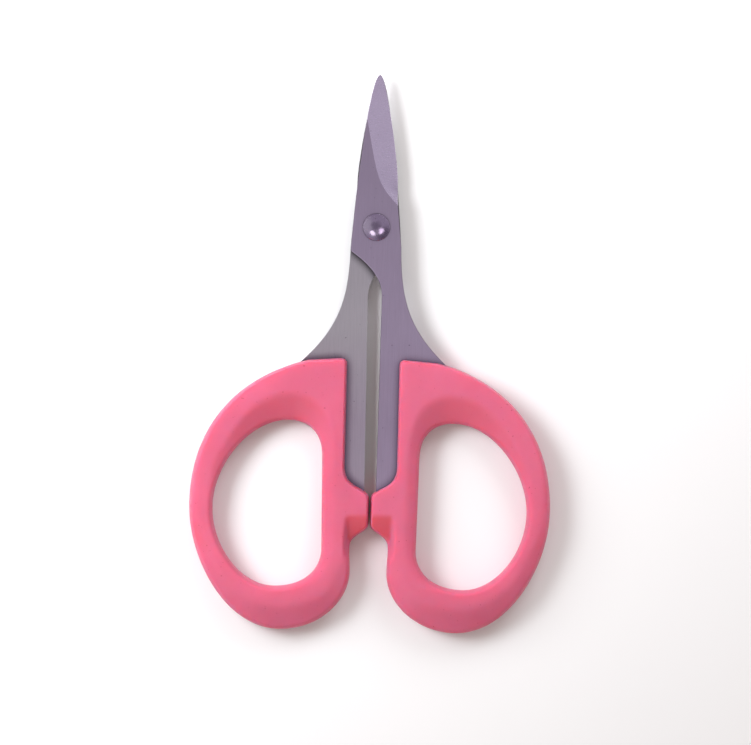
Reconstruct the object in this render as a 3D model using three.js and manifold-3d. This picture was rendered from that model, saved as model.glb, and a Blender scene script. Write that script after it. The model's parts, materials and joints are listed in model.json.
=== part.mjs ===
import * as THREE from 'three';
import { mergeVertices } from 'three/addons/utils/BufferGeometryUtils.js';
import Module from 'manifold-3d';

// Small pointed snips: two stamped blades on one rivet, each with a moulded finger loop.
// Millimetres. +Y runs to the points, +Z to the side that shows the rivet's domed head.
// Each piece is drawn from the rivet's axis, midway between the blades. The finished part
// is then moved along Y, so that its origin is the middle of its box.

const BLADE_THICKNESS = 1.4;
const BLADE_CLEARANCE = 0.1; // between the two inner faces
const EDGE_LAND = 0.2; // thickness left along the cutting edge

const PIVOT_HOLE_RADIUS = 1.5;
const RIVET_SHANK_RADIUS = 1.45;
const RIVET_SEAT_GAP = 0.03;
const RIVET_HEAD_RADIUS = 2.7;
const RIVET_HEAD_HEIGHT = 1.15;
const RIVET_HEAD_LIP = 0.12; // upright rim under the dome
const RIVET_HEAD_FULLNESS = 0.62; // of the dome, between a cone and a box
const RIVET_TAIL_RADIUS = 2.1;
const RIVET_TAIL_HEIGHT = 0.6;
const RIVET_TAIL_ROUND = 0.5;
const RIVET_DIMPLE_RADIUS = 0.8;
const RIVET_DIMPLE_DEPTH = 0.25;
const RIVET_SIDES = 36;
const RIVET_CURVE_STEPS = 5;

const HANDLE_HALF_THICKNESS = 3;
const TANG_GAP = 0.15; // plastic to steel all round the tang
const LOOP_CENTRE = new THREE.Vector2(19.5, -55);
const LOCK_HOLE_CENTRE = new THREE.Vector2(11.3, -31.2);
const LOCK_HOLE_RADIUS = 1.9;

const WINDOW_X = 5.2; // side of the window that shows the steel between the handles
const WINDOW_CORNER = 1.2;
const STOP_FACE_X = 0.15; // half of the gap between the two closing stops

const HANDLE_SLOPE = 0.42; // fall of every slope on the handle, for each millimetre across it
const SLOPE_BEND = 0.3; // half of the width that a slope's top line is rounded over
const SLOPE_BEND_SHARE = 0.13; // and the share of the slope's own width to add to it
const HOLE_EDGE_ROUND = 0.8;

const STOP_RAMP_TOP_Y = -57.5;
const STOP_RAMP_BEND = 0.6;
const STOP_RAMP_FADE_TOP_Y = -62;
const STOP_RAMP_FADE_BOTTOM_Y = -67;
const STOP_RAMP_EDGE_X = 4.7;
const STOP_RAMP_BLEND = 0.6;

const CURVE_STEPS = 10; // points on each curved stretch of an outline
const SECTION_STEPS = 8; // steps across the loop's section, on each side

const BLADE_POINT_Y = 30.5;
const LOOP_BOTTOM_Y = -80.7;

// How the loop's section changes round it, by the angle in degrees about its centre: how
// wide it slopes beside the finger hole and beside the outside, and its outside edge's round.
const sections = [
  { angle: 0, hole: 1, outside: 1.6, edge: 0.9 }, // beside the fingers
  { angle: 40, hole: 2.1, outside: 0.8, edge: 0.9 },
  { angle: 102, hole: 5.5, outside: 0, edge: 0.5 }, // the wide slope above the hole
  { angle: 140, hole: 2.4, outside: 0, edge: 0.5 }, // beside the steel
  { angle: 205, hole: 2.4, outside: 0, edge: 0.5 }, // beside the stop
  { angle: 235, hole: 1.7, outside: 3.4, edge: 0.9 },
  { angle: 262, hole: 0.8, outside: 4.9, edge: 0.9 }, // the wide slope round the bottom
  { angle: 310, hole: 0.8, outside: 2.8, edge: 0.9 },
  { angle: 360, hole: 1, outside: 1.6, edge: 0.9 },
];

const innerFaceZ = BLADE_CLEARANCE / 2;
const outerFaceZ = innerFaceZ + BLADE_THICKNESS;

const wasm = await Module();
wasm.setup();

function toSolid(geometry) {
  const bare = geometry.clone();
  bare.deleteAttribute('normal');
  bare.deleteAttribute('uv');
  const merged = mergeVertices(bare);
  return new wasm.Manifold(new wasm.Mesh({
    numProp: 3,
    vertProperties: merged.attributes.position.array,
    triVerts: new Uint32Array(merged.index.array),
  }));
}

function toGeometry(solid) {
  const mesh = solid.getMesh();
  const geometry = new THREE.BufferGeometry();
  geometry.setAttribute('position', new THREE.BufferAttribute(mesh.vertProperties, 3));
  geometry.setIndex(new THREE.BufferAttribute(mesh.triVerts, 1));
  geometry.computeVertexNormals();
  return geometry;
}

// A closed surface from equal rings of points: ring to ring, and round each ring.
// joinEnds closes the rows into a loop; otherwise the first and last rings are capped.
function loftRings(rings, joinEnds) {
  const size = rings[0].length;
  const index = [];
  const last = joinEnds ? rings.length : rings.length - 1;
  for (let row = 0; row < last; row += 1) {
    const here = row * size;
    const next = ((row + 1) % rings.length) * size;
    for (let i = 0; i < size; i += 1) {
      const j = (i + 1) % size;
      index.push(here + i, here + j, next + j, here + i, next + j, next + i);
    }
  }
  const end = (rings.length - 1) * size;
  for (let i = 1; !joinEnds && i < size - 1; i += 1) {
    index.push(0, i + 1, i, end, end + i, end + i + 1);
  }
  const geometry = new THREE.BufferGeometry();
  geometry.setAttribute('position', new THREE.Float32BufferAttribute(rings.flat(2), 3));
  geometry.setIndex(index);
  return geometry;
}

// The cutting edge, from the rounded point down to the heel.
const cuttingEdge = new THREE.CubicBezierCurve(
  new THREE.Vector2(0.45, 30.1), new THREE.Vector2(1.55, 27.6),
  new THREE.Vector2(4.05, 13.5), new THREE.Vector2(4.05, 8.5),
);

// The line on the blade's flat where the ground bevel starts. It begins at the heel and
// leaves the blade by its spine, so that the whole width is ground near the point.
const bevelLine = new THREE.CubicBezierCurve(
  new THREE.Vector2(4.2, 4.4), new THREE.Vector2(-0.2, 8.9),
  new THREE.Vector2(0, 9.6), new THREE.Vector2(-2.45, 22),
);
const bevelLeadOut = new THREE.LineCurve(bevelLine.v3, new THREE.Vector2(-4.4, 31.5));
const BEVEL_RUN_IN = 3; // length over which the bevel sinks to its full depth

// The outline runs clockwise, so its holes run the other way.
function bladeShape() {
  const shape = new THREE.Shape();
  shape.moveTo(-0.45, 30.1);
  shape.quadraticCurveTo(0, 2 * BLADE_POINT_Y - 30.1, 0.45, 30.1); // point
  shape.curves.push(cuttingEdge);
  shape.currentPoint.copy(cuttingEdge.v3);
  shape.lineTo(4.08, 5.5); // heel
  shape.quadraticCurveTo(4.3, 3.2, 5.07, -4); // neck beside the rivet
  shape.bezierCurveTo(5.2, -14.9, 7.3, -20.5, 14.5, -27.2); // flare into the handle
  shape.bezierCurveTo(16.2, -28.8, 16.6, -32.6, 14.6, -34.2); // hidden lobe of the tang
  shape.lineTo(10.4, -36.4);
  shape.bezierCurveTo(8.9, -37.3, 8, -38.6, 8, -40.5);
  shape.lineTo(8, -53.7);
  shape.quadraticCurveTo(8, -55.2, 6.5, -55.2);
  shape.lineTo(2.6, -55.2);
  shape.quadraticCurveTo(1.2, -55.2, 1.15, -53.6);
  shape.lineTo(1.4, -14); // straight inner side of the shank
  shape.bezierCurveTo(1.4, -9.6, -2.1, -6.9, -4.9, -4.9); // crossing curve
  shape.quadraticCurveTo(-5.1, -4.7, -5.05, -4);
  shape.bezierCurveTo(-4.2, 8.3, -2.2, 27.3, -0.45, 30.1); // spine
  return shape;
}

function circlePath(centre, radius) {
  return new THREE.Path().absarc(centre.x, centre.y, radius, 0, 2 * Math.PI);
}

// How far out the cutting edge is at this height. The curve falls steadily in Y, so
// halving its parameter range finds the place.
function cuttingEdgeXAt(y) {
  let above = 0;
  let below = 1;
  const halvings = 30;
  for (let i = 0; i < halvings; i += 1) {
    const middle = (above + below) / 2;
    if (cuttingEdge.getPoint(middle).y > y) above = middle;
    else below = middle;
  }
  return cuttingEdge.getPoint(above).x;
}

// The solid that the grinding wheel takes off: everything above straight lines that
// run across the blade from the bevel line down to the cutting edge.
function grindingSolid() {
  const overrun = 1;
  const narrowest = 0.5;
  const heelY = bevelLine.v0.y;
  const starts = bevelLine.getPoints(CURVE_STEPS);
  starts.push(...bevelLeadOut.getPoints(CURVE_STEPS).slice(1));
  const rings = starts.map((start) => {
    const sunk = THREE.MathUtils.smoothstep(start.y, heelY, heelY + BEVEL_RUN_IN);
    const edgeX = cuttingEdgeXAt(start.y);
    const drop = sunk * (BLADE_THICKNESS - EDGE_LAND);
    const slope = drop / Math.max(edgeX - start.x, narrowest);
    const farX = edgeX + overrun;
    const farZ = outerFaceZ - slope * (farX - start.x);
    return [
      [start.x, start.y, outerFaceZ],
      [start.x, start.y, outerFaceZ + overrun],
      [farX, start.y, outerFaceZ + overrun],
      [farX, start.y, farZ],
    ];
  });
  return toSolid(loftRings(rings, false));
}

function bladePlate(grow) {
  const shape = bladeShape();
  shape.holes.push(circlePath(LOCK_HOLE_CENTRE, LOCK_HOLE_RADIUS));
  if (grow === 0) shape.holes.push(circlePath(new THREE.Vector2(), PIVOT_HOLE_RADIUS));
  const plate = new THREE.ExtrudeGeometry(shape, {
    depth: BLADE_THICKNESS,
    curveSegments: CURVE_STEPS,
    bevelEnabled: grow > 0,
    bevelSize: grow,
    bevelThickness: grow,
    bevelSegments: 1,
  });
  plate.translate(0, 0, innerFaceZ);
  return toSolid(plate);
}

function blade() {
  return toGeometry(bladePlate(0).subtract(grindingSolid()));
}

// The loop's outside, from the window's top corner round by the shoulder to the stop.
function handleOuterPath() {
  const path = new THREE.Path();
  path.moveTo(WINDOW_X + WINDOW_CORNER, -26.3);
  path.lineTo(13, -26.8);
  path.bezierCurveTo(28.1, -30.8, 36.05, -41.4, 36.05, -56); // shoulder
  path.bezierCurveTo(36.05, -66.8, 28.5, LOOP_BOTTOM_Y, 17.6, LOOP_BOTTOM_Y);
  path.bezierCurveTo(9.6, LOOP_BOTTOM_Y, 3.7, -74.8, 3.7, -69); // inner bottom
  path.bezierCurveTo(3.7, -66.8, 4, -65, 3.8, -63.5);
  path.bezierCurveTo(3.5, -61.9, 1.8, -61.4, 0.7, -60.4); // under the stop
  path.quadraticCurveTo(STOP_FACE_X, -59.9, STOP_FACE_X, -59);
  path.lineTo(STOP_FACE_X, -54.5); // stop face
  path.bezierCurveTo(STOP_FACE_X, -51.6, WINDOW_X, -52.6, WINDOW_X, -47.9); // over the stop
  path.lineTo(WINDOW_X, -27.5); // window side
  path.quadraticCurveTo(WINDOW_X, -26.3, WINDOW_X + WINDOW_CORNER, -26.3);
  return path;
}

// The finger hole: straight beside the window, round everywhere else.
function fingerHolePath() {
  const path = new THREE.Path();
  path.moveTo(16.5, -38.9);
  path.bezierCurveTo(24.3, -38.9, 31.4, -48.2, 31.4, -56.5);
  path.bezierCurveTo(31.4, -64.7, 25.3, -72.1, 19, -72.1);
  path.bezierCurveTo(12.5, -72.1, 9.45, -68.4, 9.45, -64.5);
  path.lineTo(9.75, -46);
  path.bezierCurveTo(9.8, -41, 12.8, -38.9, 16.5, -38.9);
  return path;
}

// Where a ray from the loop's centre at this angle meets a closed outline.
function rayPoint(points, angle) {
  const ray = new THREE.Vector2(Math.cos(angle), Math.sin(angle));
  const rounding = 1e-9; // lets a ray through a corner meet one of its two sides
  for (let i = 0; i < points.length - 1; i += 1) {
    const start = points[i].clone().sub(LOOP_CENTRE);
    const step = points[i + 1].clone().sub(points[i]);
    const along = -start.cross(ray) / step.cross(ray);
    const hit = start.addScaledVector(step, along);
    const onSide = along >= -rounding && along <= 1 + rounding;
    if (onSide && hit.dot(ray) > 0) return hit.add(LOOP_CENTRE);
  }
  throw new Error(`no outline at angle ${angle}`);
}

function distanceTo(points, x, y) {
  let nearest = Infinity;
  const spot = new THREE.Vector3(x, y, 0);
  const foot = new THREE.Vector3();
  for (let i = 0; i < points.length - 1; i += 1) {
    const from = new THREE.Vector3(points[i].x, points[i].y, 0);
    const to = new THREE.Vector3(points[i + 1].x, points[i + 1].y, 0);
    new THREE.Line3(from, to).closestPointToPoint(spot, true, foot);
    nearest = Math.min(nearest, foot.distanceTo(spot));
  }
  return nearest;
}

function sectionAt(angle) {
  const { euclideanModulo, lerp, radToDeg, smoothstep } = THREE.MathUtils;
  const turned = euclideanModulo(radToDeg(angle), 360);
  const next = sections.findIndex((section) => section.angle > turned);
  const from = sections[next - 1];
  const to = sections[next];
  const share = smoothstep(turned, from.angle, to.angle);
  return {
    hole: lerp(from.hole, to.hole, share),
    outside: lerp(from.outside, to.outside, share),
    edge: lerp(from.edge, to.edge, share),
  };
}

// Climbs from 0 on the outline to 1 at one radius inside it, along a quarter ellipse.
function roundOver(distance, radius) {
  return Math.sqrt(1 - (1 - Math.min(distance / radius, 1)) ** 2);
}

// How far a slope has run, past a top line that it bends over within a distance.
function fallen(past, bend) {
  return past > bend ? past : Math.max(past + bend, 0) ** 2 / (4 * bend);
}

// How far the slope beside an outline has run, at a gap from that outline.
function fallenBeside(gap, width) {
  return fallen(width - gap, SLOPE_BEND + SLOPE_BEND_SHARE * width);
}

// The web that carries the stop slopes down to its lower edge.
function fallenRamp(x, y) {
  const { smoothstep } = THREE.MathUtils;
  const onWeb = 1 - smoothstep(
    x, STOP_RAMP_EDGE_X - STOP_RAMP_BLEND, STOP_RAMP_EDGE_X + STOP_RAMP_BLEND,
  );
  const above = smoothstep(y, STOP_RAMP_FADE_BOTTOM_Y, STOP_RAMP_FADE_TOP_Y);
  return onWeb * above * fallen(STOP_RAMP_TOP_Y - y, STOP_RAMP_BEND);
}

function halfThicknessAt(spot, section, outer, hole) {
  const outsideGap = distanceTo(outer, spot.x, spot.y);
  const holeGap = distanceTo(hole, spot.x, spot.y);
  const fall = fallenRamp(spot.x, spot.y)
    + fallenBeside(holeGap, section.hole) + fallenBeside(outsideGap, section.outside);
  const edges = roundOver(outsideGap, section.edge) * roundOver(holeGap, HOLE_EDGE_ROUND);
  return (HANDLE_HALF_THICKNESS - HANDLE_SLOPE * fall) * edges;
}

function handleBody() {
  const outer = handleOuterPath().getPoints(CURVE_STEPS);
  const hole = fingerHolePath().getPoints(CURVE_STEPS);
  const angleOf = (point) => Math.atan2(point.y - LOOP_CENTRE.y, point.x - LOOP_CENTRE.x);
  const corners = outer.slice(1).map(angleOf);
  const closest = THREE.MathUtils.degToRad(1);
  const between = hole.slice(1).map(angleOf)
    .filter((angle) => corners.every((corner) => Math.abs(corner - angle) > closest));
  const rings = [...corners, ...between].sort((a, b) => b - a).map((angle) => {
    const outside = rayPoint(outer, angle);
    const inside = rayPoint(hole, angle);
    const section = sectionAt(angle);
    const front = [];
    for (let i = 0; i <= SECTION_STEPS; i += 1) {
      const across = (1 - Math.cos((Math.PI * i) / SECTION_STEPS)) / 2;
      const spot = outside.clone().lerp(inside, across);
      const onEdge = i === 0 || i === SECTION_STEPS;
      front.push([spot.x, spot.y, onEdge ? 0 : halfThicknessAt(spot, section, outer, hole)]);
    }
    const back = front.slice(1, -1).reverse().map(([x, y, z]) => [x, y, -z]);
    return [...front, ...back];
  });
  return toSolid(loftRings(rings, true));
}

function handle() {
  return toGeometry(handleBody().subtract(bladePlate(TANG_GAP)));
}

function rivet() {
  const seat = outerFaceZ + RIVET_SEAT_GAP;
  const profile = new THREE.Path();
  profile.moveTo(0, -seat - RIVET_TAIL_HEIGHT + RIVET_DIMPLE_DEPTH);
  profile.lineTo(RIVET_DIMPLE_RADIUS, -seat - RIVET_TAIL_HEIGHT);
  profile.lineTo(RIVET_TAIL_RADIUS - RIVET_TAIL_ROUND, -seat - RIVET_TAIL_HEIGHT);
  profile.quadraticCurveTo(RIVET_TAIL_RADIUS, -seat - RIVET_TAIL_HEIGHT, RIVET_TAIL_RADIUS, -seat);
  profile.lineTo(RIVET_SHANK_RADIUS, -seat);
  profile.lineTo(RIVET_SHANK_RADIUS, seat);
  profile.lineTo(RIVET_HEAD_RADIUS, seat);
  profile.lineTo(RIVET_HEAD_RADIUS, seat + RIVET_HEAD_LIP);
  profile.quadraticCurveTo(
    RIVET_HEAD_FULLNESS * RIVET_HEAD_RADIUS, seat + RIVET_HEAD_HEIGHT,
    0, seat + RIVET_HEAD_HEIGHT,
  );
  const turned = new THREE.LatheGeometry(profile.getPoints(RIVET_CURVE_STEPS), RIVET_SIDES);
  turned.rotateX(Math.PI / 2);
  return toGeometry(toSolid(turned));
}

function meshOf(name, geometry, color, roughness, metalness) {
  const material = new THREE.MeshStandardMaterial({ color, roughness, metalness });
  const mesh = new THREE.Mesh(geometry, material);
  mesh.name = name;
  return mesh;
}

const satinSteel = [0.38, 0.9];
const bareSteel = [0.25, 1];
const satinPlastic = [0.42, 0];

const bladeGeometry = blade();
const handleGeometry = handle();

const frontHalf = new THREE.Group();
frontHalf.add(
  meshOf('front_blade', bladeGeometry, 0x857a90, ...satinSteel),
  meshOf('right_handle', handleGeometry, 0xec6e91, ...satinPlastic),
  meshOf('pivot_rivet', rivet(), 0xa39ca8, ...bareSteel),
);

// The other half is the same pair of pieces turned over about the long axis.
const backHalf = new THREE.Group();
backHalf.rotation.y = Math.PI;
backHalf.add(
  meshOf('back_blade', bladeGeometry, 0x96949a, ...satinSteel),
  meshOf('left_handle', handleGeometry, 0xec6e91, ...satinPlastic),
);

const snips = new THREE.Group();
snips.position.y = -(BLADE_POINT_Y + LOOP_BOTTOM_Y) / 2;
snips.add(frontHalf, backHalf);

export default snips;
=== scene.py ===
"""Small pointed snips: fine meshes, materials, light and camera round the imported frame.

Shapes are worked out in millimetres from the rivet's axis, midway between the blades:
+Y runs to the points and +Z to the side that shows the rivet's dome.
"""

import json
import math

import bmesh
import bpy
import numpy as np
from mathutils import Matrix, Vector
from mathutils.geometry import delaunay_2d_cdt


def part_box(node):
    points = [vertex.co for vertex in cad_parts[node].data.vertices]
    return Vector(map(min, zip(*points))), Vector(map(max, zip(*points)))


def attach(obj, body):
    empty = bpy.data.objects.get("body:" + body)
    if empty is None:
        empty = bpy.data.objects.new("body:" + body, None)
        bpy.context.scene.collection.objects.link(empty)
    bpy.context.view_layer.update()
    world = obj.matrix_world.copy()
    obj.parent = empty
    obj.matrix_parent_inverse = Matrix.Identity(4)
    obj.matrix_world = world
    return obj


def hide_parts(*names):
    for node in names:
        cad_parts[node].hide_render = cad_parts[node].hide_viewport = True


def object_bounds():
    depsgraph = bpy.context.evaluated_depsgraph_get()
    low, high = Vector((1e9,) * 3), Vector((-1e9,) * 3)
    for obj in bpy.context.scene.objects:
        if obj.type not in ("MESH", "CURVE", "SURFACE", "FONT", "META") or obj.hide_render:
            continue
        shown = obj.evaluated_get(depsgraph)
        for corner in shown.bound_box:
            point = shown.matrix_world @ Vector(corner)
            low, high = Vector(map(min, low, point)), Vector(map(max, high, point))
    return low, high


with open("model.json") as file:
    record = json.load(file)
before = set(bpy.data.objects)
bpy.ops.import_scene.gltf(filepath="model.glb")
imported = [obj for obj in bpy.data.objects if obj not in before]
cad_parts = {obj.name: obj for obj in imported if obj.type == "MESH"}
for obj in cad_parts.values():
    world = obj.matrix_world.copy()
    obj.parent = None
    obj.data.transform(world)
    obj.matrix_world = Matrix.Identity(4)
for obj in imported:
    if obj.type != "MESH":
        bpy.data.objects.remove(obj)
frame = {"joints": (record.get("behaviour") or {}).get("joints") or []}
cad_low, cad_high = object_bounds()

MM = 0.001
CRISP_DEGREES = 35  # a turn sharper than this shows as a hard edge
CURVE_SAMPLES = 400
FINE_STEP = 0.1  # spacing along a curve that is only measured from
TRIANGULATION_SLACK = 1e-6

blade_low, blade_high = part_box("front_blade")
rivet_low, rivet_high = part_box("pivot_rivet")
handle_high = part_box("right_handle")[1]
INNER_Z = blade_low.z / MM
OUTER_Z = blade_high.z / MM
HALF_THICKNESS = handle_high.z / MM
PIVOT = Vector(frame["joints"][0]["pos_m"])

EDGE_LAND = 0.2  # steel left along the cutting edge
EDGE_SOFTNESS = 0.09  # rounding of the stamped edge, as a share of the steel's thickness
HOLLOW_GRIND = 0.03  # how far the ground bevel dips below flat
BEVEL_RUN_IN = 3.0
BEVEL_NARROWEST = 0.5
PIVOT_HOLE_RADIUS = 1.5
LOCK_HOLE_CENTRE = (11.3, -31.2)  # in the tang, and the plastic fills it
LOCK_HOLE_RADIUS = 1.9
HOLE_SIDES = 48
TANG_FIT = 0.02  # the plastic is moulded round the tang, so almost nothing

# Spacings of the blade's mesh.
BLADE_OUTLINE_STEP = 0.22
CREASE_STEP = 0.25
BLADE_PITCH = 0.5
GRID_TO_OUTLINE = 0.35
GRID_TO_CREASE = 0.2
CREASE_TO_ROUNDING = 0.08
RING_PAST_ROUNDING = 0.03

LOOP_CENTRE = np.array([19.5, -55.0])
WINDOW_X = 5.2
WINDOW_CORNER = 1.2
STOP_FACE_X = 0.15
SLOPE = 0.42  # fall of every slope on the handle, for each millimetre across it
SLOPE_BEND = 0.3  # half of the width that a slope's top line is rounded over
SLOPE_BEND_SHARE = 0.13  # and the share of the slope's own width to add to it
RAMP_TOP_Y = -57.5
RAMP_BEND = 0.6  # half of the width that the ramp's top line is rounded over
RAMP_EDGE_X = 4.7
RAMP_BLEND = 0.6
RAMP_FADE_Y = (-67.0, -62.0)
HOLE_EDGE_ROUND = 0.8
PARTING_RIDGE = 0.04
PARTING_HALF_WIDTH = 0.07
HANDLE_OUTLINE_STEP = 0.3
HANDLE_STEPS = 40  # across one face, from the outside to the finger hole
WELD_REACH = 0.003  # the points of a cut that are nearer than this are joined

# How the loop's section changes round it: the angle in degrees about its centre, how wide
# its slopes are beside the finger hole and beside the outside, and the outside edge's round.
SECTIONS = np.array(
    [
        (0, 1.0, 1.6, 0.9),  # beside the fingers
        (40, 2.1, 0.8, 0.9),
        (102, 5.5, 0.0, 0.5),  # the wide slope above the hole
        (140, 2.4, 0.0, 0.5),  # beside the steel
        (205, 2.4, 0.0, 0.5),  # beside the stop
        (235, 1.7, 3.4, 0.9),
        (262, 0.8, 4.9, 0.9),  # the wide slope round the bottom
        (310, 0.8, 2.8, 0.9),
        (360, 1.0, 1.6, 0.9),
    ]
)

RIVET_SIDES = 120
RIVET_STEP = 0.15  # down its profile
RIVET_HEAD_STEP = 0.07
RIVET_SHANK_RADIUS = 1.45
RIVET_TAIL_RADIUS = 2.1
RIVET_TAIL_ROUND = 0.5
RIVET_SEAT_GAP = 0.03
DOME_FULLNESS = 0.62  # how far out the dome stays level with its crown, as a share
DOME_LIP = 0.12  # the head's straight side, under the dome
DIMPLE_RADIUS = 0.8
DIMPLE_SLOPE = 0.3
DIMPLE_DEPTH = 0.25
DENTS = 8
DENT_SPREAD = 0.62
DENT_DEPTH = 0.03
DENT_REACH = 0.5


# ---- curves and areas -----------------------------------------------------------------


def chain(start, *stretches):
    """A run of curves. Each stretch lists its control points after the last one's end."""
    curves = []
    here = start
    for stretch in stretches:
        curves.append(np.array([here, *stretch], float))
        here = stretch[-1]
    return curves


def on_curve(control, shares):
    """Points on a line, a quadratic or a cubic curve, at shares 0 to 1 along it."""
    points = control[:, None, :]
    shares = np.asarray(shares, float)[None, :, None]
    while len(points) > 1:
        points = points[:-1] * (1 - shares) + points[1:] * shares
    return points[0]


def walk(curves, spacing):
    """Points evenly along a run of curves, with each curve's start but not the last end."""
    rows = []
    for control in curves:
        fine = on_curve(control, np.linspace(0, 1, CURVE_SAMPLES))
        run = np.append(0, np.cumsum(np.hypot(*np.diff(fine, axis=0).T)))
        count = max(1, round(run[-1] / spacing))
        along = np.linspace(0, run[-1], count, endpoint=False)
        rows.append(np.column_stack([np.interp(along, run, fine[:, k]) for k in (0, 1)]))
    return np.vstack(rows)


def circle(centre, radius, count):
    """Points round a circle, anticlockwise."""
    turn = np.arange(count) * 2 * np.pi / count
    return np.array(centre) + radius * np.column_stack([np.cos(turn), np.sin(turn)])


def distance(spots, loop):
    """How far each spot is from a closed polyline."""
    nearest = np.full(len(spots), np.inf)
    for start, step in zip(loop, np.roll(loop, -1, axis=0) - loop):
        share = np.clip((spots - start) @ step / (step @ step), 0, 1)
        apart = spots - start - share[:, None] * step
        nearest = np.minimum(nearest, (apart**2).sum(1))
    return np.sqrt(nearest)


def inside(spots, loop):
    """Whether each spot is inside a closed polyline."""
    x, y = spots.T
    odd = np.zeros(len(spots), bool)
    for (ax, ay), (bx, by) in zip(loop, np.roll(loop, -1, axis=0)):
        if ay != by:
            crosses = (ay > y) != (by > y)
            odd ^= crosses & (x < ax + (y - ay) * (bx - ax) / (by - ay))
    return odd


def smoothstep(value, low, high):
    """0 up to low and 1 from high on, with a smooth step between."""
    share = np.clip((value - low) / (high - low), 0, 1)
    return share * share * (3 - 2 * share)


def inset(loop, depth):
    """The loop's points moved to its left by a depth, without those that land too near it."""
    nearest = 0.9 * depth
    along = np.roll(loop, -1, axis=0) - np.roll(loop, 1, axis=0)
    along /= np.hypot(*along.T)[:, None]
    moved = loop + depth * np.column_stack([-along[:, 1], along[:, 0]])
    return moved[distance(moved, loop) > nearest]


def staggered(low, high, pitch):
    """Points evenly over a rectangle, with every other row moved half a pitch along."""
    sides = [np.arange(a, b, pitch) for a, b in zip(low, high)]
    grid = np.stack(np.meshgrid(*sides), -1).reshape(-1, 2)
    grid[:, 0] += pitch / 2 * (np.round((grid[:, 1] - low[1]) / pitch) % 2)
    return grid


def triangulate(loops, lines, spots):
    """Triangles inside the first loop and outside the others, through lines and spots.

    Returns the points, the triangles, and each loop's point numbers in order.
    """
    points = []
    edges = []
    for run, closed in [(loop, True) for loop in loops] + [(line, False) for line in lines]:
        first = len(points)
        points.extend(run)
        last = len(run) if closed else len(run) - 1
        edges.extend((first + i, first + (i + 1) % len(run)) for i in range(last))
    points.extend(spots)
    flat = [Vector((float(x), float(y))) for x, y in points]
    found = delaunay_2d_cdt(flat, edges, [], 0, TRIANGULATION_SLACK)
    made, _, faces, origins, _, _ = found
    made = np.array([tuple(v) for v in made])
    where = {source: number for number, sources in enumerate(origins) for source in sources}
    centres = np.array([made[list(face)].mean(0) for face in faces])
    keep = inside(centres, loops[0])
    for loop in loops[1:]:
        keep &= ~inside(centres, loop)
    numbers = []
    first = 0
    for loop in loops:
        numbers.append([where[first + i] for i in range(len(loop))])
        first += len(loop)
    return made, [tuple(f) for f, kept in zip(faces, keep) if kept], numbers


# ---- meshes ---------------------------------------------------------------------------


def make_piece(name, vertices, faces, materials, slots=None):
    """A smooth-shaded object from millimetre vertices, with its hard edges kept crisp."""
    mesh = bpy.data.meshes.new(name)
    placed = np.asarray(vertices) * MM + np.array(PIVOT)
    mesh.from_pydata([tuple(v) for v in placed], [], faces)
    for made in materials:
        mesh.materials.append(made)
    if slots is not None:
        mesh.polygons.foreach_set("material_index", slots)
    piece = bpy.data.objects.new(name, mesh)
    bpy.context.scene.collection.objects.link(piece)
    crisp(piece, CRISP_DEGREES)
    return piece


def crisp(piece, degrees):
    """Shades a piece smooth, apart from edges that turn by more than this."""
    mesh = piece.data
    mesh.shade_smooth()
    mesh.set_sharp_from_angle(angle=math.radians(degrees))


def slab(area, triangles, loops, top, bottom):
    """A closed slab over a triangulated area: tops, bottoms, and walls round its loops."""
    count = len(area)
    vertices = np.vstack([np.column_stack([area, top]), np.column_stack([area, bottom])])
    faces = list(triangles)
    faces += [tuple(count + i for i in reversed(face)) for face in triangles]
    for loop, is_hole in zip(loops, [False] + [True] * (len(loops) - 1)):
        for a, b in zip(loop, loop[1:] + loop[:1]):
            if is_hole:
                a, b = b, a
            faces.append((a, count + a, count + b, b))
    return vertices, faces


def turned_over(vertices):
    """The other half of the tool: the same shape, turned half round about the long axis."""
    return np.asarray(vertices) * (-1, 1, -1)


# ---- blade ----------------------------------------------------------------------------

CUTTING_EDGE = chain((0.45, 30.1), [(1.55, 27.6), (4.05, 13.5), (4.05, 8.5)])
BEVEL_LINE = chain(
    (4.2, 4.4),
    [(-0.2, 8.9), (0, 9.6), (-2.45, 22)],
    [(-4.4, 31.5)],
)
BLADE_OUTLINE = CUTTING_EDGE + chain(
    (4.05, 8.5),
    [(4.08, 5.5)],  # heel
    [(4.3, 3.2), (5.07, -4)],  # neck beside the rivet
    [(5.2, -14.9), (7.3, -20.5), (14.5, -27.2)],  # flare into the handle
    [(16.2, -28.8), (16.6, -32.6), (14.6, -34.2)],  # hidden lobe of the tang
    [(10.4, -36.4)],
    [(8.9, -37.3), (8, -38.6), (8, -40.5)],
    [(8, -53.7)],
    [(8, -55.2), (6.5, -55.2)],
    [(2.6, -55.2)],
    [(1.2, -55.2), (1.15, -53.6)],
    [(1.4, -14)],  # straight inner side of the shank
    [(1.4, -9.6), (-2.1, -6.9), (-4.9, -4.9)],  # crossing curve
    [(-5.1, -4.7), (-5.05, -4)],
    [(-4.2, 8.3), (-2.2, 27.3), (-0.45, 30.1)],  # spine
    [(0, 30.9), (0.45, 30.1)],  # point
)


def bevel_share(spots):
    """Where spots lie on the ground bevel: 0 on its upper line, 1 on the cutting edge."""
    line = walk(BEVEL_LINE, FINE_STEP)
    edge = walk(CUTTING_EDGE, FINE_STEP)[::-1]
    starts = np.interp(spots[:, 1], line[:, 1], line[:, 0])
    ends = np.interp(spots[:, 1], edge[:, 1], edge[:, 0])
    return (spots[:, 0] - starts) / np.maximum(ends - starts, BEVEL_NARROWEST)


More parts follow.
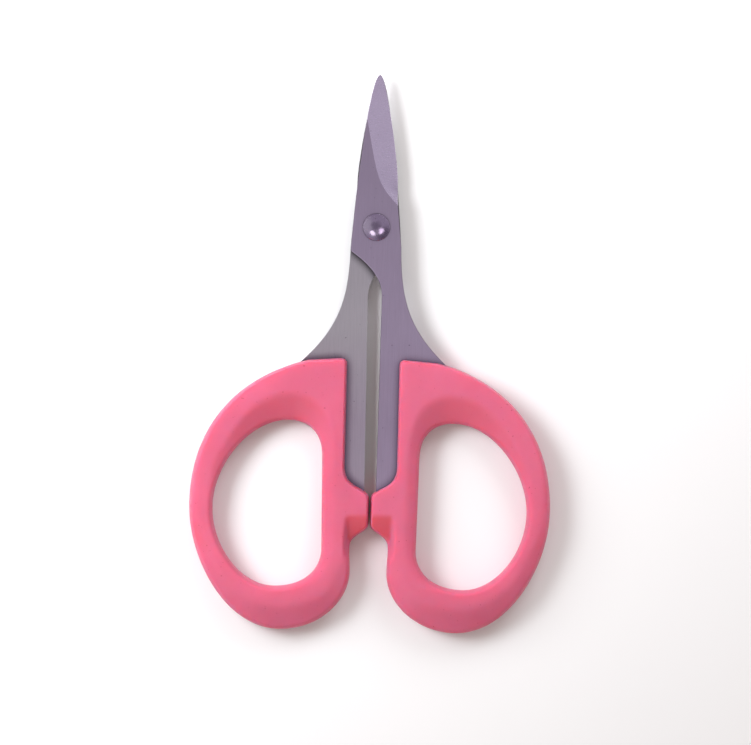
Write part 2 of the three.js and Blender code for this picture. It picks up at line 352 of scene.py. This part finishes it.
def blade_height(spots, gap):
    """Height of the outer face, at spots a gap away from the nearest outline."""
    share = np.clip(bevel_share(spots), 0, 1)
    heel_y = BEVEL_LINE[0][0][1]
    sunk = smoothstep(spots[:, 1], heel_y, heel_y + BEVEL_RUN_IN)
    depth = share * (OUTER_Z - INNER_Z - EDGE_LAND) + 4 * HOLLOW_GRIND * share * (1 - share)
    face = OUTER_Z - sunk * depth
    rounding = EDGE_SOFTNESS * (face - INNER_Z)
    short = 1 - np.minimum(gap / rounding, 1)
    return face - rounding * (1 - np.sqrt(1 - short**2))


def blade_mesh():
    """The stamped blade and tang, with its ground bevel and softened stamped edges."""
    outline = walk(BLADE_OUTLINE, BLADE_OUTLINE_STEP)[::-1]
    pivot_hole = circle((0, 0), PIVOT_HOLE_RADIUS, HOLE_SIDES)
    lock_hole = circle(LOCK_HOLE_CENTRE, LOCK_HOLE_RADIUS, HOLE_SIDES)
    full = EDGE_SOFTNESS * (OUTER_Z - INNER_Z)
    depths = [full * (1 - math.cos(math.radians(turn))) for turn in (30, 60, 90)]
    depths.append(full + RING_PAST_ROUNDING)
    rings = [inset(outline, depth) for depth in depths]
    rings += [inset(hole[::-1], depth) for hole in (pivot_hole, lock_hole) for depth in depths]

    crease = walk(BEVEL_LINE, CREASE_STEP)
    clear = distance(crease, outline) > full + CREASE_TO_ROUNDING
    crease = crease[inside(crease, outline) & clear]
    grid = staggered(outline.min(0), outline.max(0), BLADE_PITCH)
    clear = inside(grid, outline) & (distance(grid, outline) > GRID_TO_OUTLINE)
    for hole in (pivot_hole, lock_hole):
        clear &= ~inside(grid, hole) & (distance(grid, hole) > GRID_TO_OUTLINE)
    grid = grid[clear]
    nearest = np.min(np.hypot(*(grid[:, None] - crease[None]).transpose(2, 0, 1)), axis=1)
    grid = grid[nearest > GRID_TO_CREASE]

    loops = [outline, pivot_hole, lock_hole]
    area, triangles, numbers = triangulate(loops, [crease], np.vstack([*rings, grid]))
    gap = np.min([distance(area, loop) for loop in loops], axis=0)
    inner_face = np.full(len(area), INNER_Z)
    vertices, faces = slab(area, triangles, numbers, blade_height(area, gap), inner_face)
    centres = np.array([area[list(face)].mean(0) for face in triangles])
    ground = (bevel_share(centres) > 0) & (centres[:, 1] > BEVEL_LINE[0][0][1])
    slots = np.zeros(len(faces), int)
    slots[: len(triangles)] = ground
    return vertices, faces, slots


def keep_crease(piece):
    """Keeps the line between the blade's flat and its ground bevel crisp."""
    shaped = bmesh.new()
    shaped.from_mesh(piece.data)
    for edge in shaped.edges:
        slots = {face.material_index for face in edge.link_faces}
        if len(slots) == 2:
            edge.smooth = False
    shaped.to_mesh(piece.data)
    shaped.free()


# ---- handle ---------------------------------------------------------------------------

HANDLE_OUTLINE = chain(
    (WINDOW_X + WINDOW_CORNER, -26.3),
    [(13, -26.8)],
    [(28.1, -30.8), (36.05, -41.4), (36.05, -56)],  # shoulder
    [(36.05, -66.8), (28.5, -80.7), (17.6, -80.7)],  # outer bottom
    [(9.6, -80.7), (3.7, -74.8), (3.7, -69)],  # inner bottom
    [(3.7, -66.8), (4, -65), (3.8, -63.5)],
    [(3.5, -61.9), (1.8, -61.4), (0.7, -60.4)],  # under the stop
    [(STOP_FACE_X, -59.9), (STOP_FACE_X, -59)],
    [(STOP_FACE_X, -54.5)],  # stop face
    [(STOP_FACE_X, -51.6), (WINDOW_X, -52.6), (WINDOW_X, -47.9)],  # over the stop
    [(WINDOW_X, -27.5)],  # side of the window that shows the steel
    [(WINDOW_X, -26.3), (WINDOW_X + WINDOW_CORNER, -26.3)],
)
FINGER_HOLE = chain(
    (16.5, -38.9),
    [(24.3, -38.9), (31.4, -48.2), (31.4, -56.5)],
    [(31.4, -64.7), (25.3, -72.1), (19, -72.1)],
    [(12.5, -72.1), (9.45, -68.4), (9.45, -64.5)],
    [(9.75, -46)],  # straight beside the window
    [(9.8, -41), (12.8, -38.9), (16.5, -38.9)],
)


def section_at(degrees):
    """The two slopes' widths and the outside edge's round, at angles about the centre."""
    turned = degrees % 360
    row = np.searchsorted(SECTIONS[:, 0], turned, side="right") - 1
    before, after = SECTIONS[row], SECTIONS[row + 1]
    share = smoothstep(turned, before[:, 0], after[:, 0])
    return [before[:, k] + share * (after[:, k] - before[:, k]) for k in (1, 2, 3)]


def fallen(past, bend):
    """How far a slope has run, past a top line that it bends over within a distance."""
    bending = np.clip(past + bend, 0, None) ** 2 / (4 * bend)
    return np.where(past > bend, past, bending)


def round_over(gap, radius):
    """0 on the outline to 1 at one radius inside it, along a quarter ellipse."""
    return np.sqrt(1 - (1 - np.minimum(gap / radius, 1)) ** 2)


def handle_height(spots, degrees, outline, hole):
    """Half the plastic's thickness at each spot."""
    hole_slope, outside_slope, outside_round = section_at(degrees)
    hole_gap = distance(spots, hole)
    outside_gap = distance(spots, outline)
    x, y = spots.T
    web = 1 - smoothstep(x, RAMP_EDGE_X - RAMP_BLEND, RAMP_EDGE_X + RAMP_BLEND)
    fall = web * smoothstep(y, *RAMP_FADE_Y) * fallen(RAMP_TOP_Y - y, RAMP_BEND)
    for width, gap in [(hole_slope, hole_gap), (outside_slope, outside_gap)]:
        fall += fallen(width - gap, SLOPE_BEND + SLOPE_BEND_SHARE * width)
    edges = round_over(outside_gap, outside_round) * round_over(hole_gap, HOLE_EDGE_ROUND)
    return (HALF_THICKNESS - SLOPE * fall) * edges


def handle_mesh():
    """The finger loop, as sections that run from its outside in to the finger hole."""
    steps = HANDLE_STEPS
    outline = walk(HANDLE_OUTLINE, HANDLE_OUTLINE_STEP)
    hole = walk(FINGER_HOLE, FINE_STEP)
    arms = outline - LOOP_CENTRE
    angles = np.arctan2(arms[:, 1], arms[:, 0])
    hole_arms = hole - LOOP_CENTRE
    hole_angles = np.arctan2(hole_arms[:, 1], hole_arms[:, 0])
    reach = np.interp(angles, *in_order(hole_angles, np.hypot(*hole_arms.T)), period=2 * np.pi)
    rays = np.column_stack([np.cos(angles), np.sin(angles)])
    hole_ends = LOOP_CENTRE + reach[:, None] * rays

    shares = (1 - np.cos(np.pi * np.arange(steps + 1) / steps)) / 2
    spots = outline[:, None] * (1 - shares[:, None]) + hole_ends[:, None] * shares[:, None]
    degrees = np.repeat(np.degrees(angles), steps + 1)
    heights = handle_height(spots.reshape(-1, 2), degrees, outline, hole)
    heights = heights.reshape(len(outline), steps + 1)

    # The parting line of the mould: a fine ridge all round the outside.
    ridge = outline + PARTING_RIDGE * rays
    heights[:, 0] = PARTING_HALF_WIDTH
    heights[:, -1] = 0
    front = np.dstack([spots, heights])
    back = front[:, -2::-1] * (1, 1, -1)
    ridge_row = np.column_stack([ridge, np.zeros(len(ridge))])[:, None]
    rings = np.concatenate([front, back, ridge_row], axis=1)

    sections, size = rings.shape[:2]
    faces = []
    for row in range(sections):
        here = row * size
        after = (row + 1) % sections * size
        for i in range(size):
            j = (i + 1) % size
            faces.append((here + i, here + j, after + j, after + i))
    return rings.reshape(-1, 3), faces


def in_order(keys, values):
    """Keys and their values, from the lowest key up."""
    order = np.argsort(keys)
    return keys[order], values[order]


def tang_cutter():
    """The pocket that the tang fills inside a handle."""
    outline = walk(BLADE_OUTLINE, BLADE_OUTLINE_STEP)[::-1]
    lock_hole = circle(LOCK_HOLE_CENTRE, LOCK_HOLE_RADIUS - TANG_FIT, HOLE_SIDES)
    along = np.roll(outline, -1, axis=0) - np.roll(outline, 1, axis=0)
    along /= np.hypot(*along.T)[:, None]
    grown = outline + TANG_FIT * np.column_stack([along[:, 1], -along[:, 0]])
    area, triangles, numbers = triangulate([grown, lock_hole], [], [])
    top = np.full(len(area), OUTER_Z + TANG_FIT)
    bottom = np.full(len(area), INNER_Z - TANG_FIT)
    return slab(area, triangles, numbers, top, bottom)


def cut(piece, cutter):
    """Takes the cutter's solid out of the piece for good, and removes the cutter."""
    cutting = piece.modifiers.new("pocket", "BOOLEAN")
    cutting.operation = "DIFFERENCE"
    cutting.solver = "MANIFOLD"
    cutting.object = cutter
    evaluated = piece.evaluated_get(bpy.context.evaluated_depsgraph_get())
    piece.data = bpy.data.meshes.new_from_object(evaluated)
    piece.modifiers.clear()
    bpy.data.objects.remove(cutter)
    weld(piece, WELD_REACH * MM)
    crisp(piece, CRISP_DEGREES)


def weld(piece, reach):
    """Joins points closer than this and splits many-sided faces, so that a cut leaves no
    sliver.
    """
    shaped = bmesh.new()
    shaped.from_mesh(piece.data)
    bmesh.ops.remove_doubles(shaped, verts=shaped.verts, dist=reach)
    bmesh.ops.dissolve_degenerate(shaped, edges=shaped.edges, dist=reach)
    many_sided = [face for face in shaped.faces if len(face.verts) > 4]
    bmesh.ops.triangulate(shaped, faces=many_sided, ngon_method="BEAUTY")
    shaped.to_mesh(piece.data)
    shaped.free()


# ---- rivet ----------------------------------------------------------------------------


def rivet_profile():
    """Radius and height down the rivet, from the crown of its head to its tail."""
    seat = OUTER_Z + RIVET_SEAT_GAP
    radius = rivet_high.x / MM
    crown = rivet_high.z / MM
    tail = rivet_low.z / MM
    dimple = tail + DIMPLE_DEPTH
    head = chain(
        (0, crown),
        [(DOME_FULLNESS * radius, crown), (radius, seat + DOME_LIP)],
        [(radius, seat)],
    )
    under = chain(
        (radius, seat),
        [(RIVET_SHANK_RADIUS, seat)],
        [(RIVET_SHANK_RADIUS, -seat)],
        [(RIVET_TAIL_RADIUS, -seat)],
        [(RIVET_TAIL_RADIUS, tail), (RIVET_TAIL_RADIUS - RIVET_TAIL_ROUND, tail)],
        [(DIMPLE_RADIUS, tail)],
        [(DIMPLE_RADIUS - DIMPLE_SLOPE, dimple), (0, dimple)],
    )
    return np.vstack([walk(head, RIVET_HEAD_STEP), walk(under, RIVET_STEP), [(0, dimple)]])


def rivet_mesh():
    """The rivet turned on its axis, with the shallow marks of the peening tool on its head."""
    sides = RIVET_SIDES
    profile = rivet_profile()
    turn = np.arange(sides) * 2 * np.pi / sides
    vertices = []
    rows = []
    for radius, height in profile:
        first = len(vertices)
        if radius == 0:
            vertices.append((0, 0, height))
            rows.append([first] * sides)
            continue
        vertices.extend((radius * math.cos(t), radius * math.sin(t), height) for t in turn)
        rows.append(list(range(first, first + sides)))
    faces = []
    for above, below in zip(rows, rows[1:]):
        for i in range(sides):
            j = (i + 1) % sides
            face = dict.fromkeys((above[i], below[i], below[j], above[j]))
            faces.append(tuple(face))
    vertices = np.array(vertices)
    return vertices + peening(vertices), faces


def peening(vertices):
    """Shallow dents, spread over the head like seeds in a sunflower."""
    golden_angle = math.pi * (3 - math.sqrt(5))
    moved = np.zeros_like(vertices)
    on_head = vertices[:, 2] > OUTER_Z + 2 * RIVET_SEAT_GAP
    for number in range(1, DENTS + 1):
        reach = DENT_SPREAD * math.sqrt(number)
        turn = golden_angle * number
        dent = np.array([reach * math.cos(turn), reach * math.sin(turn)])
        apart = ((vertices[:, :2] - dent) ** 2).sum(1)
        moved[:, 2] -= on_head * DENT_DEPTH * np.exp(-apart / DENT_REACH**2)
    return moved


# ---- materials ------------------------------------------------------------------------


def start_material(name):
    """A new material, its node tree and its surface shader."""
    made = bpy.data.materials.new(name)
    made.use_nodes = True
    return made, made.node_tree, made.node_tree.nodes["Principled BSDF"]


def join(tree, target, inputs):
    """Sets a node's inputs. Each is a value, or another node's output to link from."""
    for key, value in inputs.items():
        if isinstance(value, bpy.types.NodeSocket):
            tree.links.new(value, target.inputs[key])
        else:
            target.inputs[key].default_value = value


def add(tree, kind, inputs, **settings):
    """A new shader node."""
    made = tree.nodes.new("ShaderNode" + kind)
    for key, value in settings.items():
        setattr(made, key, value)
    join(tree, made, inputs)
    return made


def grain(tree, scale, detail=3.0):
    """Noise on the object's own axes. Scale is one number for all three, or one for each."""
    spot = add(tree, "TexCoord", {}).outputs["Object"]
    scales = [float(number) for number in np.broadcast_to(scale, 3)]
    stretched = add(tree, "Mapping", {"Vector": spot, "Scale": scales}).outputs["Vector"]
    noise = add(tree, "TexNoise", {"Vector": stretched, "Scale": 1.0, "Detail": detail})
    return noise.outputs["Fac"]


def ranged(tree, value, low, high, start=0.0, end=1.0):
    """A value from low to high, spread over start to end."""
    spread = add(
        tree,
        "MapRange",
        {"Value": value, "From Min": low, "From Max": high, "To Min": start, "To Max": end},
    )
    return spread.outputs["Result"]


def ranged_mm(tree, length, span, shares=(0.0, 1.0)):
    """The same for a length, over a span in millimetres."""
    return ranged(tree, length, span[0] * MM, span[1] * MM, *shares)


def mixed(tree, factor, first, second, how="MIX"):
    """The first colour at factor 0, and the second mixed in up to factor 1."""
    inputs = {"Fac": factor, "Color1": first, "Color2": second}
    return add(tree, "MixRGB", inputs, blend_type=how).outputs["Color"]


def bumped(tree, height, distance_mm, strength, normal=None):
    """A normal that follows a height, on top of another normal if one is given."""
    inputs = {"Height": height, "Distance": distance_mm * MM, "Strength": strength}
    if normal is not None:
        inputs["Normal"] = normal
    return add(tree, "Bump", inputs).outputs["Normal"]


def colour(red, green, blue):
    """A colour from 0 to 255 display values, as the renderer's linear one."""
    linear = [((c / 255 + 0.055) / 1.055) ** 2.4 for c in (red, green, blue)]
    return (*linear, 1.0)


PINK = colour(206, 99, 130), colour(212, 104, 136)  # the mottle's two tones
PINK_SPECK = colour(176, 74, 100)
# Painted shade: the plastic's steep edges turn a deeper pink.
PINK_EDGE_SHADE = colour(190, 87, 115)
EDGE_SHADE_LEVELS = (0.8, 0.3)  # how level the plastic is where the painted edge shade starts, and where it is full
EDGE_SHADE_DEPTH = 0.6
# Painted shade: slopes that face -Y, away from the lamps, turn coral.
CORAL_SHADE = colour(213, 81, 94)
CORAL_FACING = (-0.06, -0.42)  # the normal's Y where the painted coral shade starts, and where it is full
CORAL_LEVELS = (0.55, 0.85)
CORAL_END_Y = (-66, -63)  # the painted coral shade fades out below the stop's ramp
CORAL_RAMP_Y = (-46, -55)  # it deepens from the slope above the hole down to the ramp
CORAL_DEPTHS = (0.4, 0.85)

# Each steel's first tone is the blade's, and its second the shank's beside the handle. The front
# steel's lilac is a painted reflection of lilac surroundings; the back steel's lighter, neutral
# tone is partly its coarser finish and partly painted light.
FRONT_STEEL = colour(178, 166, 184), colour(170, 157, 175)
# The ground bevels' bright tones are partly the ground steel's own and partly a painted highlight.
FRONT_BEVEL = [colour(229, 219, 237)] * 2
BACK_STEEL = colour(191, 189, 189), colour(174, 165, 174)
BACK_BEVEL = [colour(210, 206, 214)] * 2
RIVET_STEEL = [colour(172, 158, 180)] * 2
STEEL_SPECK = colour(70, 62, 74)
# Painted shade for steel that tilts from level, and the painted dark reflection on the rivet's
# crown.
STEEL_SHADE = colour(62, 53, 68)
SHANK_TONE_Y = (-38, -20)
# Painted shade where faces meet closely, darker about the rivet and the blades' crossing.
CREVICE_SHADE = colour(84, 70, 90)
PIVOT_CREVICE_SHADE = colour(38, 32, 42)
PIVOT_SHADE_REACH = (18, 13)
CREVICE_SHADE_DEPTH = 0.8
CREVICE = 2.0  # how near two faces are where painted shade darkens between them

# Where painted shade darkens steel: how level its surface is where that starts and where
# it is darkest, and then how dark it gets.
STEEL_EDGE_SHADE = (0.985, 0.8, 0.5)  # painted shade on a stamping's rounded and upright edges
GROUND = (0.985, 0.8, 0.0)  # no painted shade, so bright all over
RIVET_CROWN_SHADE = (0.955, 0.995, 0.45)  # a painted dark reflection on the crown of the rivet

# How fine each noise is, in grains per metre.
MOTTLE = 90
SPECKS = 1900
SATIN = 650
MOULD_WAVES = 420
MOULD_GRAIN = 5200
STREAK_ALONG = 160
STREAK_ACROSS = 5200
STAINS = (260, 180, 260)
STEEL_SPECKS = 1500
FLOOR_TONES = 30


def from_rivet(tree):
    """Where a spot is, from the rivet's axis."""
    spot = add(tree, "TexCoord", {}).outputs["Object"]
    return add(tree, "VectorMath", {0: spot, 1: PIVOT}, operation="SUBTRACT").outputs["Vector"]


def along_axis(tree, vector, axis):
    """A vector's X, Y or Z."""
    return add(tree, "SeparateXYZ", {"Vector": vector}).outputs[axis]


def levelness(tree):
    """1 where a surface lies level, down to 0 where it stands upright."""
    facing = add(tree, "TexCoord", {}).outputs["Normal"]
    rise = along_axis(tree, facing, "Z")
    return add(tree, "Math", {0: rise}, operation="ABSOLUTE").outputs[0]


def painted_edge_and_slope_shade(tree, base):
    """The plastic's colour with painted shade: deeper on steep edges, and coral on slopes that
    face -Y: a little on the slope above a finger hole, and most on the stop's ramp.
    """
    level = levelness(tree)
    base = mixed(tree, ranged(tree, level, *EDGE_SHADE_LEVELS, 0.0, EDGE_SHADE_DEPTH), base, PINK_EDGE_SHADE)
    y = along_axis(tree, from_rivet(tree), "Y")
    limits = [
        ranged_mm(tree, y, CORAL_END_Y),
        ranged_mm(tree, y, CORAL_RAMP_Y, CORAL_DEPTHS),
        ranged(tree, level, *CORAL_LEVELS),
    ]
    facing = add(tree, "TexCoord", {}).outputs["Normal"]
    share = ranged(tree, along_axis(tree, facing, "Y"), *CORAL_FACING)
    for limit in limits:
        share = add(tree, "Math", {0: share, 1: limit}, operation="MULTIPLY").outputs[0]
    return mixed(tree, share, base, CORAL_SHADE)


def plastic():
    """Pink satin moulded plastic: slight mottle, fine mould grain, faint waves, and painted shade
    on steep edges and -Y slopes.
    """
    made, tree, skin = start_material("pink_moulded_plastic")
    mottle = grain(tree, MOTTLE, 4.0)
    base = mixed(tree, ranged(tree, mottle, 0.35, 0.65), *PINK)
    specks = ranged(tree, grain(tree, SPECKS, 1.0), 0.74, 0.80)
    base = mixed(tree, specks, base, PINK_SPECK)
    base = painted_edge_and_slope_shade(tree, base)
    normal = bumped(tree, grain(tree, MOULD_WAVES, 2.0), 0.02, 0.5)
    normal = bumped(tree, grain(tree, MOULD_GRAIN, 2.0), 0.006, 0.5, normal)
    satin = ranged(tree, grain(tree, SATIN), 0.3, 0.7, 0.46, 0.56)
    join(
        tree,
        skin,
        {
            "Base Color": base,
            "Roughness": satin,
            "Normal": normal,
            "Subsurface Weight": 1.0,
            "Subsurface Radius": (1.0, 0.15, 0.1),
            "Subsurface Scale": 3.2 * MM,
            "IOR": 1.45,
        },
    )
    return made


def crevice_shaded(tree, base):
    """A colour with painted shade where faces meet closely, darker about the rivet and the blades'
    crossing.
    """
    reach = add(tree, "VectorMath", {0: from_rivet(tree)}, operation="LENGTH").outputs["Value"]
    shade_tone = mixed(tree, ranged_mm(tree, reach, PIVOT_SHADE_REACH), CREVICE_SHADE, PIVOT_CREVICE_SHADE)
    open_sky = add(tree, "AmbientOcclusion", {"Distance": CREVICE * MM}, samples=12).outputs["AO"]
    return mixed(tree, ranged(tree, open_sky, 0.5, 0.93, CREVICE_SHADE_DEPTH, 0.0), base, shade_tone)


def steel(name, tones, direction, roughness, streaks, painted_shade=STEEL_EDGE_SHADE):
    """Stamped or ground steel, with streaks of a strength up to 1 along an axis, "X" or "Y", and
    painted shade in crevices and where it tilts from level.
    """
    made, tree, skin = start_material(name)
    height = along_axis(tree, from_rivet(tree), "Y")
    tone = mixed(tree, ranged_mm(tree, height, SHANK_TONE_Y), tones[1], tones[0])
    dark = mixed(tree, 1.0, tone, (0.8, 0.8, 0.8, 1), "MULTIPLY")
    scale = [STREAK_ACROSS] * 3
    scale["XY".index(direction)] = STREAK_ALONG
    lines = grain(tree, scale, 5.0)
    base = mixed(tree, ranged(tree, lines, 0.3, 0.7, 0.0, streaks), tone, dark)
    stains = grain(tree, STAINS, 3.0)
    base = mixed(tree, ranged(tree, stains, 0.35, 0.7, 0.0, 0.25), base, dark)
    specks = ranged(tree, grain(tree, STEEL_SPECKS, 1.0), 0.76, 0.80, 0.0, 0.6)
    base = crevice_shaded(tree, mixed(tree, specks, base, STEEL_SPECK))
    # Painted shade where the steel tilts from level.
    shade_start, darkest, depth = painted_shade
    shade_share = ranged(tree, levelness(tree), shade_start, darkest, 0.0, depth)
    base = mixed(tree, shade_share, base, STEEL_SHADE)
    rough = ranged(tree, lines, 0.3, 0.7, roughness - 0.05, roughness + 0.05)
    normal = bumped(tree, lines, 0.004, 0.6)
    normal = bumped(tree, stains, 0.01, 0.25, normal)
    inputs = {"Base Color": base, "Metallic": 1.0, "Roughness": rough, "Normal": normal}
    join(tree, skin, inputs)
    return made


# ---- the tool -------------------------------------------------------------------------


def place(piece, body, node):
    """Puts a piece on its body, in the place of its CAD node."""
    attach(piece, body)
    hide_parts(node)


def build_blades():
    """Both blades are one shape, and the back one is turned over."""
    vertices, faces, slots = blade_mesh()
    front = [
        steel("front_steel", FRONT_STEEL, "Y", roughness=0.36, streaks=0.5),
        steel("front_ground_steel", FRONT_BEVEL, "X", roughness=0.3, streaks=0.5, painted_shade=GROUND),
    ]
    back = [
        steel("back_steel", BACK_STEEL, "Y", roughness=0.38, streaks=0.5),
        steel("back_ground_steel", BACK_BEVEL, "X", roughness=0.3, streaks=0.7, painted_shade=GROUND),
    ]
    for side, shape, steels in [("front", vertices, front), ("back", turned_over(vertices), back)]:
        blade = make_piece(side + "_blade_ground", shape, faces, steels, slots)
        keep_crease(blade)
        place(blade, side + "_half", side + "_blade")


def build_handles():
    """Both handles are one shape too, each moulded round its blade's tang."""
    pink = plastic()
    vertices, faces = handle_mesh()
    tang, tang_faces = tang_cutter()
    sides = [
        ("right", "front_half", vertices, tang),
        ("left", "back_half", turned_over(vertices), turned_over(tang)),
    ]
    for side, body, shape, pocket in sides:
        handle = make_piece(side + "_handle_moulded", shape, faces, [pink])
        cut(handle, make_piece(side + "_tang", pocket, tang_faces, [pink]))
        place(handle, body, side + "_handle")


def build_rivet():
    """The rivet, which stays fast in the front blade."""
    vertices, faces = rivet_mesh()
    # The rivet's crown carries a painted dark reflection.
    bright = steel("peened_rivet_steel", RIVET_STEEL, "Y", roughness=0.24, streaks=0.2, painted_shade=RIVET_CROWN_SHADE)
    rivet = make_piece("pivot_rivet_peened", vertices, faces, [bright])
    place(rivet, "front_half", "pivot_rivet")


# ---- floor, light and camera ----------------------------------------------------------


def build_floor():
    """A pale, matt floor under the tool."""
    made, tree, skin = start_material("pale_floor")
    tones = (0.86, 0.86, 0.87, 1), (0.88, 0.88, 0.89, 1)
    tone = mixed(tree, grain(tree, FLOOR_TONES), *tones)
    join(tree, skin, {"Base Color": tone, "Roughness": 0.9})
    mesh = bpy.data.meshes.new("floor")
    reach = 1.5  # metres
    corners = [(-reach, -reach), (reach, -reach), (reach, reach), (-reach, reach)]
    mesh.from_pydata([(x, y, cad_low.z) for x, y in corners], [], [(0, 1, 2, 3)])
    mesh.materials.append(made)
    floor = bpy.data.objects.new("floor", mesh)
    bpy.context.scene.collection.objects.link(floor)


def area_light(name, azimuth, elevation, reach, size, watts, tint, glint=False):
    """A square lamp that faces the middle of the tool, from an angle round it from +X and an
    angle above it. Reflections show only the glint lamps, and all else only the others.
    """
    lamp = bpy.data.lights.new(name, "AREA")
    lamp.size = size
    lamp.energy = watts
    lamp.color = tint
    holder = bpy.data.objects.new(name, lamp)
    around = math.radians(azimuth)
    above = math.radians(elevation)
    level = math.cos(above)
    way = Vector((level * math.cos(around), level * math.sin(around), math.sin(above)))
    holder.location = (cad_low + cad_high) / 2 + reach * way
    holder.rotation_euler = way.to_track_quat("Z", "Y").to_euler()
    holder.visible_glossy = glint
    holder.visible_diffuse = not glint
    bpy.context.scene.collection.objects.link(holder)


def build_lights():
    """The numbers are two angles in degrees, the distance and width in metres, and watts."""
    area_light("key", 158, 36, 0.22, 0.13, 0.38, (0.97, 1.0, 1.03))
    area_light("high", 165, 46, 0.35, 0.14, 0.5, (0.98, 1.0, 1.03))
    area_light("side", 60, 32, 0.3, 0.16, 0.42, (0.97, 1.0, 1.04))
    area_light("glint_left", 231, 56, 0.4, 0.15, 0.2, (1.0, 1.0, 0.97), glint=True)
    area_light("glint_right", 325, 62, 0.4, 0.16, 0.22, (1.0, 0.92, 1.0), glint=True)


def turned_to(tree, way, aim, low, high):
    """0 to 1 as a way turns to an aim. Low and high are cosines of the angle between them."""
    inputs = {0: way, 1: Vector(aim).normalized()}
    cosine = add(tree, "VectorMath", inputs, operation="DOT_PRODUCT").outputs["Value"]
    return ranged(tree, cosine, low, high)


def build_world():
    """A pale room. The steel mirrors a dim lilac ceiling, with a light wall on the left and
    a dark corner on the low right.
    """
    world = bpy.data.worlds.new("studio")
    bpy.context.scene.world = world
    world.use_nodes = True
    tree = world.node_tree
    way = add(tree, "TexCoord", {}).outputs["Generated"]
    left = turned_to(tree, way, (-0.9, 0.15, 0.4), 0.6, 0.95)
    mirrored = mixed(tree, left, (0.51, 0.465, 0.555, 1), (0.72, 0.72, 0.74, 1))
    low_right = turned_to(tree, way, (0.65, -0.6, 0.45), 0.58, 0.92)
    mirrored = mixed(tree, low_right, mirrored, (0.19, 0.165, 0.215, 1))
    is_mirror = add(tree, "LightPath", {}).outputs["Is Glossy Ray"]
    tone = mixed(tree, is_mirror, (0.53, 0.48, 0.45, 1), mirrored)
    join(tree, tree.nodes["Background"], {"Color": tone, "Strength": 1.0})


def build_camera():
    """Straight overhead, turned a little, so that the tool leans as it was laid down."""
    height = 0.6
    frame_width = 0.1502
    aim = (0.52 * MM, -29 * MM)
    lean = math.radians(1.42)
    lens = bpy.data.cameras.new("camera")
    lens.sensor_width = 36.0
    lens.lens = lens.sensor_width * height / frame_width
    camera = bpy.data.objects.new("camera", lens)
    camera.location = PIVOT + Vector((*aim, height))
    camera.rotation_euler = (0, 0, lean)
    bpy.context.scene.collection.objects.link(camera)
    bpy.context.scene.camera = camera


build_blades()
build_handles()
build_rivet()
build_floor()
build_world()
build_lights()
build_camera()
bpy.context.scene.view_settings.view_transform = "Standard"
